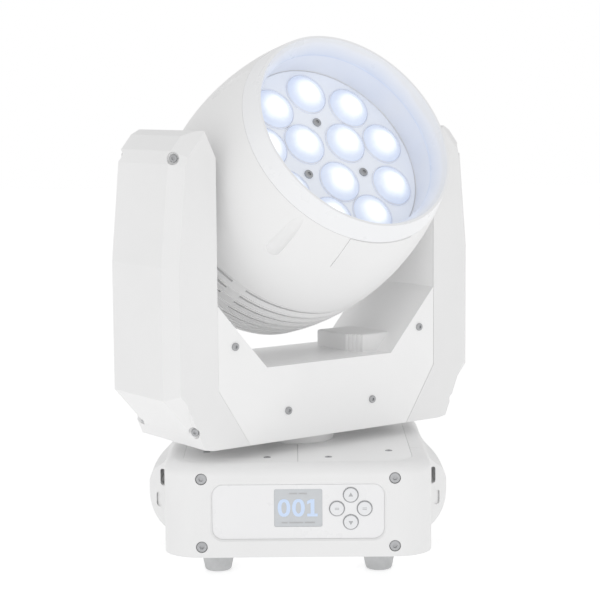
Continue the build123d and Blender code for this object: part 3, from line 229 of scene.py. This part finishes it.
def moulded(name, colour, roughness, grain=0.35, grain_size=1500, mottle=0.03, coat=0.0, painted_glow=0.0):
    """Injection-moulded plastic: a spark-eroded grain, slow colour drift, faint flow lines, and an optional
    painted glow in its own colour.
    """
    made = Finish(name)
    made.paint(made.noise(9, 4, 0.55), [(NOISE_LOW, tinted(colour, 1 - mottle)),
                                        (NOISE_HIGH, tinted(colour, 1 + mottle * 0.4))])
    made.roughen(made.noise(**SHEEN), roughness - 0.05, roughness + 0.06)
    made.bump([(made.noise(**FLOW), 0.04, FLOW_DEPTH), (made.noise(grain_size, 2, 0.6), grain, GRAIN_DEPTH)])
    # The emission is a painted glow that stands in for light falling on the part; it is no lamp.
    made.set(Coat_Weight=coat, Coat_Roughness=0.15, Emission_Color=colour, Emission_Strength=painted_glow)
    return made.material


def powder_coat(name, colour, roughness):
    """Powder paint on sheet metal: a fine orange peel over the plate."""
    made = Finish(name)
    made.paint(made.noise(14, 3), [(NOISE_LOW, tinted(colour, 0.97)), (NOISE_HIGH, colour)])
    made.roughen(made.noise(60, 4), roughness - 0.06, roughness + 0.06)
    made.bump([(made.noise(420, 2), 0.3, 0.00012), (made.noise(1800, 1), 0.15, 0.00003)])
    made.set(Coat_Weight=0.15, Coat_Roughness=0.25)
    return made.material


def metal(name, colour, roughness, brush=(1, 1, 14), spots=0.08):
    """Brushed or plated metal: drawn lines along one axis and a duller film in patches."""
    made = Finish(name)
    made.paint(made.noise(90, 4), [(0.35, tinted(colour, 1 - spots)), (0.65, colour)])
    made.roughen(made.noise(120, 6, 0.6, brush), roughness - 0.08, roughness + 0.1)
    made.bump([(made.noise(700, 3, 0.6, brush), 0.12, 0.00004)])
    made.set(Metallic=1.0)
    return made.material


def rubber(name, colour):
    """Moulded rubber: dusty, with a coarse matt skin."""
    made = Finish(name)
    made.paint(made.noise(70, 5, 0.65), [(NOISE_LOW, tinted(colour, 0.85)), (0.75, tinted(colour, 1.12))])
    made.roughen(made.noise(160, 4), 0.68, 0.88)
    made.bump([(made.noise(900, 3, 0.7), 0.5, 0.0001)])
    return made.material


def board(name, colour, copper):
    """A lacquered circuit board, its tracks a shade apart from the ground."""
    made = Finish(name)
    cells = made.node("ShaderNodeTexVoronoi", distance="MANHATTAN", feature="DISTANCE_TO_EDGE")
    cells.inputs["Scale"].default_value = 160
    made.link(made.coords.outputs["Object"], cells.inputs["Vector"])
    made.paint(cells.outputs["Distance"], [(0.05, copper), (0.12, colour)])
    made.roughen(made.noise(200, 3), 0.25, 0.4)
    made.bump([(cells.outputs["Distance"], 0.3, 0.00005)])
    return made.material


def lens_glass(lit_centre, lit_edge):
    """Pressed glass lit from behind: white over the LED, blue towards its edge, rippled by the mould."""
    made = Finish("lens_glass")
    reach = made.node("ShaderNodeAttribute", attribute_name="reach")
    ripple = made.node("ShaderNodeMath", operation="MULTIPLY_ADD")
    ripple.inputs[1].default_value = 0.22
    made.link(made.noise(95, 2), ripple.inputs[0])
    made.link(reach.outputs["Fac"], ripple.inputs[2])
    stops = [(0.18, lit_centre), (0.62, linear(235, 242, 253)), (1.0, lit_edge)]
    colour = made.ramp(ripple.outputs["Value"], stops)
    made.link(colour, made.shader.inputs["Base Color"])
    made.link(colour, made.shader.inputs["Emission Color"])
    power = made.node("ShaderNodeMapRange", interpolation_type="SMOOTHSTEP")
    power.inputs["From Min"].default_value = 0.15
    power.inputs["From Max"].default_value = 1.0
    power.inputs["To Min"].default_value = 0.9
    power.inputs["To Max"].default_value = 0.2
    made.link(ripple.outputs["Value"], power.inputs["Value"])
    made.link(power.outputs["Result"], made.shader.inputs["Emission Strength"])
    made.roughen(made.noise(160, 4), 0.05, 0.12)
    made.bump([(made.noise(110, 2), 0.1, 0.0003)])
    made.set(IOR=1.5, Coat_Weight=0.8, Coat_Roughness=0.04)
    return made.material


def lit_moulding(name, colour, roughness, coat):
    """White moulding whose bore is painted with the blue light of the lit lenses, a painted reflection deepest
    next to their plate.
    """
    made = Finish(name)
    inside = made.node("ShaderNodeMapping", vector_type="TEXTURE")
    inside.inputs["Location"].default_value = HEAD.to_translation()
    inside.inputs["Rotation"].default_value = HEAD.to_euler()
    made.link(made.coords.outputs["Object"], inside.inputs["Vector"])
    flat = made.node("ShaderNodeVectorMath", operation="MULTIPLY")
    flat.inputs[1].default_value = (1.0, 1.0, 0.0)
    made.link(inside.outputs["Vector"], flat.inputs[0])
    away = made.node("ShaderNodeVectorMath", operation="LENGTH")
    made.link(flat.outputs["Vector"], away.inputs[0])
    split = made.node("ShaderNodeSeparateXYZ")
    made.link(inside.outputs["Vector"], split.inputs["Vector"])
    outside = made.node("ShaderNodeMath", operation="MAXIMUM")
    for k, (source, start, end) in enumerate(((away.outputs["Value"], BORE_FOOT_R, BORE_LIP_R),
                                              (split.outputs["Z"], BORE_LIT_L, BORE_DARK_L))):
        reach = made.node("ShaderNodeMapRange")
        reach.inputs["From Min"].default_value = start
        reach.inputs["From Max"].default_value = end
        made.link(source, reach.inputs["Value"])
        made.link(reach.outputs["Result"], outside.inputs[k])
    # Painted reflection of the lens light: blue deep in the bore, fading to the moulding's own white at the lip,
    # broken into patches by a noise.
    painted_lens_light = made.node("ShaderNodeMath", operation="MULTIPLY_ADD")
    painted_lens_light.inputs[1].default_value = 0.5
    made.link(made.noise(22, 2, 0.5), painted_lens_light.inputs[0])
    made.link(outside.outputs["Value"], painted_lens_light.inputs[2])
    made.paint(painted_lens_light.outputs["Value"], [(0.12, linear(208, 219, 243)), (0.4, linear(226, 233, 248)),
                                        (0.8, linear(240, 243, 250)), (0.95, colour)])
    made.roughen(made.noise(**SHEEN), roughness - 0.05, roughness + 0.06)
    made.bump([(made.noise(**FLOW), 0.04, FLOW_DEPTH), (made.noise(1500, 2, 0.6), 0.2, GRAIN_DEPTH)])
    made.set(Coat_Weight=coat, Coat_Roughness=0.15)
    return made.material


def screen_glass():
    """The cover glass of the display over its pale, unlit ground."""
    made = Finish("display_glass")
    colour = linear(190, 194, 198)
    made.paint(made.noise(220, 2), [(NOISE_LOW, tinted(colour, 0.97)), (NOISE_HIGH, colour)])
    made.roughen(made.noise(90, 3), 0.08, 0.16)
    made.bump([(made.noise(1200, 1), 0.03, 0.00002)])
    made.set(Coat_Weight=0.8, Coat_Roughness=0.04)
    return made.material


def glowing(name, colour, strength):
    """A finely mottled surface that gives a little light of its own."""
    made = Finish(name)
    grain = made.noise(2400, 1)
    tone = made.ramp(grain, [(NOISE_LOW, tinted(colour, 0.92)), (NOISE_HIGH, colour)])
    made.link(tone, made.shader.inputs["Base Color"])
    made.link(tone, made.shader.inputs["Emission Color"])
    made.roughen(grain, 0.3, 0.45)
    made.set(Emission_Strength=strength)
    return made.material


WHITE = linear(236, 236, 236)
MATERIALS = {
    "white_moulding": moulded("white_moulding", WHITE, 0.46),
    "white_gloss": moulded("white_gloss", linear(239, 239, 240), 0.3, 0.12, 1800, 0.02, 0.3),
    "white_painted_metal": powder_coat("white_painted_metal", linear(247, 247, 247), 0.42),
    "steel": metal("steel", linear(176, 178, 181), 0.32),
    "zinc_plated": metal("zinc_plated", linear(168, 169, 171), 0.4, (1, 1, 1), 0.12),
    "cast_aluminium": metal("cast_aluminium", linear(196, 198, 201), 0.45, (1, 1, 1), 0.1),
    "black_plastic": moulded("black_plastic", linear(38, 38, 40), 0.5, 0.4, 1400, 0.1),
    "blue_plastic": moulded("blue_plastic", linear(44, 92, 178), 0.42, 0.3, 1400, 0.06),
    "grey_rubber": rubber("grey_rubber", linear(178, 179, 180)),
    "belt_rubber": rubber("belt_rubber", linear(34, 34, 35)),
    "circuit_board": board("circuit_board", linear(28, 88, 56), linear(60, 122, 76)),
    "white_board": board("white_board", linear(236, 238, 240), linear(214, 217, 220)),
    "display_glass": screen_glass(),
    "lens_glass": lens_glass(linear(255, 255, 255), linear(216, 227, 248)),
    # The lens plate's faint emission is a painted glow of the lenses' light on it.
    "lens_plate_white": moulded("lens_plate_white", linear(241, 246, 255), 0.34, 0.12, 1600, 0.03, 0.2, 0.07),
    "motor_steel": powder_coat("motor_steel", linear(44, 44, 46), 0.4),
    "button_grey": moulded("button_grey", linear(232, 233, 235), 0.36, 0.2, 1800, 0.02, 0.2),
}
EXTRA = {
    # The bezel and the head front carry a painted blue reflection of the lens light in their bore.
    "bezel_moulding": lit_moulding("bezel_moulding", linear(239, 240, 242), 0.3, 0.3),
    "head_moulding": lit_moulding("head_moulding", WHITE, 0.46, 0.0),
    "print_grey": moulded("print_grey", linear(168, 169, 171), 0.5, 0.1, 2200, 0.04),
    "digit_blue": glowing("digit_blue", linear(188, 208, 238), 0.18),
    "lens_rim": moulded("lens_rim", linear(238, 242, 252), 0.25, 0.08, 1800, 0.02, 0.5),
    "floor_paper": glowing("floor_paper", linear(252, 252, 252), 0.4),
}


def finish_cad_nodes():
    """Gives each node the material of its slot, and the two mouldings with painted lens light their own."""
    for entry in frame["record"]["subparts"]:
        mesh = NODES[entry["node"]].data
        mesh.materials.clear()
        mesh.materials.append(MATERIALS[entry["material_slot"]])
    NODES["front_bezel"].data.materials[0] = EXTRA["bezel_moulding"]
    NODES["head_front_housing"].data.materials[0] = EXTRA["head_moulding"]


# ---------------------------------------------------------------- mesh helpers

def new_piece(name, bm, body, material, place=BASE, smooth=True):
    """Turns a bmesh drawn in one of the frames into a piece that rides on a body."""
    bmesh.ops.transform(bm, matrix=place, verts=bm.verts)
    bmesh.ops.recalc_face_normals(bm, faces=bm.faces)
    mesh = bpy.data.meshes.new(name)
    bm.to_mesh(mesh)
    bm.free()
    for face in mesh.polygons:
        face.use_smooth = smooth
    piece = bpy.data.objects.new(name, mesh)
    bpy.context.scene.collection.objects.link(piece)
    mesh.materials.append(material)
    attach(piece, body)
    return piece


def one_spun(profile, steps=48):
    """A ring or dome: a profile of (radius, height) turned about Z."""
    bm = bmesh.new()
    verts = [bm.verts.new((radius, 0, height)) for radius, height in profile]
    edges = [bm.edges.new(pair) for pair in zip(verts, verts[1:])]
    bmesh.ops.spin(bm, geom=verts + edges, cent=(0, 0, 0), axis=(0, 0, 1), angle=math.tau, steps=steps,
                   use_merge=True)
    bmesh.ops.remove_doubles(bm, verts=bm.verts, dist=1e-6)
    return bm


def copies(single, places):
    """A new bmesh with one drawing repeated at each place."""
    mesh = bpy.data.meshes.new("pattern")
    single.to_mesh(mesh)
    single.free()
    bm = bmesh.new()
    for place in places:
        start = len(bm.verts)
        bm.from_mesh(mesh)
        bm.verts.ensure_lookup_table()
        bmesh.ops.transform(bm, matrix=place, verts=bm.verts[start:])
    bpy.data.meshes.remove(mesh)
    return bm


# ---------------------------------------------------------------- lenses

def lens_places():
    """The foot of each lens on its plate."""
    for ring, count, first in LENS_RINGS:
        for k in range(count):
            turn = math.radians(first + 360 / count * k)
            yield Matrix.Translation((ring * math.cos(turn), ring * math.sin(turn), PLATE_FRONT))


def dome(radius, height, count):
    """Points of a round dome from its rim to its top on the axis."""
    ball = (radius ** 2 + height ** 2) / (2 * height)
    half = math.asin(radius / ball)
    turns = [half * (1 - k / count) for k in range(count + 1)]
    return [(ball * math.sin(turn), height - ball + ball * math.cos(turn)) for turn in turns]


def set_reach(bm, radius):
    """Stores how far each point lies from the middle of its own lens, from 0 to 1."""
    layer = bm.verts.layers.float.new("reach")
    centres = [place.translation for place in lens_places()]
    for vert in bm.verts:
        away = min(math.hypot(vert.co.x - c.x, vert.co.y - c.y) for c in centres)
        vert[layer] = min(1.0, away / radius)


def lens_domes():
    """Twelve lenses of pressed glass, each a domed plug."""
    height = LENS_TOP - PLATE_FRONT - LENS_SIDE - LENS_SINK
    rim = LENS_R - LENS_FIT
    edge = rim - LENS_EDGE
    profile = [(0, -LENS_ROOT), (rim, -LENS_ROOT), (rim, LENS_SIDE - LENS_EDGE_HIGH), (edge, LENS_SIDE)]
    profile += [(r, z + LENS_SIDE) for r, z in dome(edge, height, DOME_STEPS)][1:]
    bm = copies(one_spun(profile, LENS_STEPS), list(lens_places()))
    set_reach(bm, rim)
    return new_piece("lens_domes", bm, "lens_carriage", MATERIALS["lens_glass"], HEAD)


def lens_rims():
    """A raised collar round each lens, with a rounded lip."""
    profile = [(LENS_R + beyond * MM, rise * MM) for beyond, rise in RIM_PROFILE]
    bm = copies(one_spun(profile, LENS_STEPS), list(lens_places()))
    new_piece("lens_rims", bm, "lens_carriage", EXTRA["lens_rim"], HEAD)


# ---------------------------------------------------------------- control panel

def flat_piece(name, outlines, thick, place, body, material):
    """Thin raised shapes: each outline is a list of (x, z), drawn facing -Y."""
    bm = bmesh.new()
    for outline in outlines:
        face = bm.faces.new([bm.verts.new((x * MM, z * MM, 0)) for x, z in outline])
        made = bmesh.ops.extrude_face_region(bm, geom=[face])
        top = [v for v in made["geom"] if isinstance(v, bmesh.types.BMVert)]
        bmesh.ops.translate(bm, vec=(0, 0, thick), verts=top)
    new_piece(name, bm, body, material, place @ FACE_FRONT, smooth=False)


def zero_halves(middle, steps=28):
    """The figure 0 as a left and a right half, each a bent band."""
    halves = []
    for side in (-1, 1):
        bands = []
        for wide, high in (ZERO_OUTER, ZERO_INNER):
            turns = [math.pi * k / steps for k in range(1, steps)]
            band = [(middle + side * wide * math.sin(t) ** ZERO_SQUARE, high * math.cos(t)) for t in turns]
            bands.append([(middle, high)] + band + [(middle, -high)])
        halves.append(bands[0] + bands[1][::-1])
    return halves


def display():
    """The figures 001 between two status bars."""
    centre = Matrix.Translation(((glass_low.x + glass_high.x) / 2, glass_low.y, FIGURES_Z))
    figures = zero_halves(FIGURE_X[0]) + zero_halves(FIGURE_X[1])
    figures.append([(x + FIGURE_X[2], z) for x, z in ONE])
    flat_piece("display_figures", figures, FIGURE_THICK, centre, "base", EXTRA["digit_blue"])
    bars = [[(x0, z0), (x1, z0), (x1, z0 + STATUS_BAR_HIGH), (x0, z0 + STATUS_BAR_HIGH)]
            for x0, x1, z0 in STATUS_BARS]
    flat_piece("display_status_bars", bars, FIGURE_THICK, centre, "base", EXTRA["print_grey"])


def button_rings():
    """A thin printed ring on the panel round each button."""
    radius = (BUTTONS["up"][1].x - BUTTONS["up"][0].x) / 2 - RING_INSET
    inner, outer = radius - RING_IN, radius + RING_OUT
    profile = [(inner, 0), (inner, PRINT_THICK), (outer, PRINT_THICK), (outer, 0), (inner, 0)]
    places = []
    for low, high in BUTTONS.values():
        centre = Vector(((low.x + high.x) / 2, PANEL_FRONT, (low.z + high.z) / 2))
        places.append(Matrix.Translation(centre) @ FACE_FRONT)
    bm = copies(one_spun(profile, RING_STEPS), places)
    new_piece("button_rings", bm, "base", EXTRA["print_grey"])


def button_marks():
    """Triangles on the up and down buttons, two short dashes on the others."""
    for side, (low, high) in BUTTONS.items():
        centre = Vector(((low.x + high.x) / 2, low.y - PRINT_SINK, (low.z + high.z) / 2))
        bm = bmesh.new()
        if side in ("up", "down"):
            bmesh.ops.create_cone(bm, cap_ends=True, segments=3, radius1=TRIANGLE_R, radius2=TRIANGLE_R,
                                  depth=PRINT_THICK)
        else:
            for offset in DASH_OFFSETS:
                made = bmesh.ops.create_cube(bm, size=1.0)
                bmesh.ops.scale(bm, vec=(DASH_LONG, DASH_HIGH, PRINT_THICK), verts=made["verts"])
                bmesh.ops.translate(bm, vec=(0, offset, 0), verts=made["verts"])
        bmesh.ops.bevel(bm, geom=bm.edges, offset=PRINT_EDGE, segments=1, profile=0.5, affect="EDGES",
                        material=-1)
        turn = Matrix.Rotation(math.radians(180 if side == "down" else 0), 4, "Z")
        new_piece(f"button_mark_{side}", bm, f"button_{side}", EXTRA["print_grey"],
                  Matrix.Translation(centre) @ FACE_FRONT @ turn, smooth=False)


# ---------------------------------------------------------------- stage

def floor():
    """A wide sheet of pale paper."""
    bm = bmesh.new()
    bmesh.ops.create_grid(bm, x_segments=FLOOR_CELLS, y_segments=FLOOR_CELLS, size=FLOOR_HALF)
    mesh = bpy.data.meshes.new("floor")
    bm.to_mesh(mesh)
    bm.free()
    made = bpy.data.objects.new("floor", mesh)
    bpy.context.scene.collection.objects.link(made)
    mesh.materials.append(EXTRA["floor_paper"])


def softbox(name, place, aim, size, power):
    """A rectangular light at a place, turned to its aim."""
    light = bpy.data.lights.new(name, "AREA")
    light.shape = "RECTANGLE"
    light.size, light.size_y = size
    light.energy = power
    made = bpy.data.objects.new(name, light)
    bpy.context.scene.collection.objects.link(made)
    turn = (Vector(aim) - Vector(place)).to_track_quat("-Z", "Y").to_matrix().to_4x4()
    made.matrix_world = Matrix.Translation(place) @ turn


def studio():
    world = bpy.data.worlds.new("studio")
    bpy.context.scene.world = world
    world.use_nodes = True
    sky = world.node_tree.nodes["Background"]
    sky.inputs["Color"].default_value = (1.0, 1.0, 1.0, 1.0)
    # Pure white where it is seen, softer where it lights the object.
    path = world.node_tree.nodes.new("ShaderNodeLightPath")
    level = world.node_tree.nodes.new("ShaderNodeMapRange")
    level.inputs["To Min"].default_value = WORLD_LIGHT
    level.inputs["To Max"].default_value = WORLD_SEEN
    world.node_tree.links.new(path.outputs["Is Camera Ray"], level.inputs["Value"])
    world.node_tree.links.new(level.outputs["Result"], sky.inputs["Strength"])
    for light in SOFTBOXES:
        softbox(*light)


def camera():
    """At chest height, tipped down a little, with a long lens."""
    lens = bpy.data.cameras.new("camera")
    lens.sensor_width = CAMERA_SENSOR
    lens.lens = CAMERA_LENS
    made = bpy.data.objects.new("camera", lens)
    bpy.context.scene.collection.objects.link(made)
    yaw = Matrix.Rotation(math.radians(CAMERA_YAW), 4, "Z")
    pitch = Matrix.Rotation(math.radians(90 - CAMERA_DIP), 4, "X")
    roll = Matrix.Rotation(math.radians(CAMERA_ROLL), 4, "Z")
    made.matrix_world = Matrix.Translation(CAMERA_PLACE) @ yaw @ pitch @ roll
    lens.clip_end = CAMERA_REACH
    bpy.context.scene.camera = made
    bpy.context.scene.view_settings.view_transform = "Standard"
    bpy.context.scene.view_settings.gamma = PICTURE_GAMMA


finish_cad_nodes()
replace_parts(lens_domes(), "lenses")
lens_rims()
display()
button_rings()
button_marks()
floor()
studio()
camera()
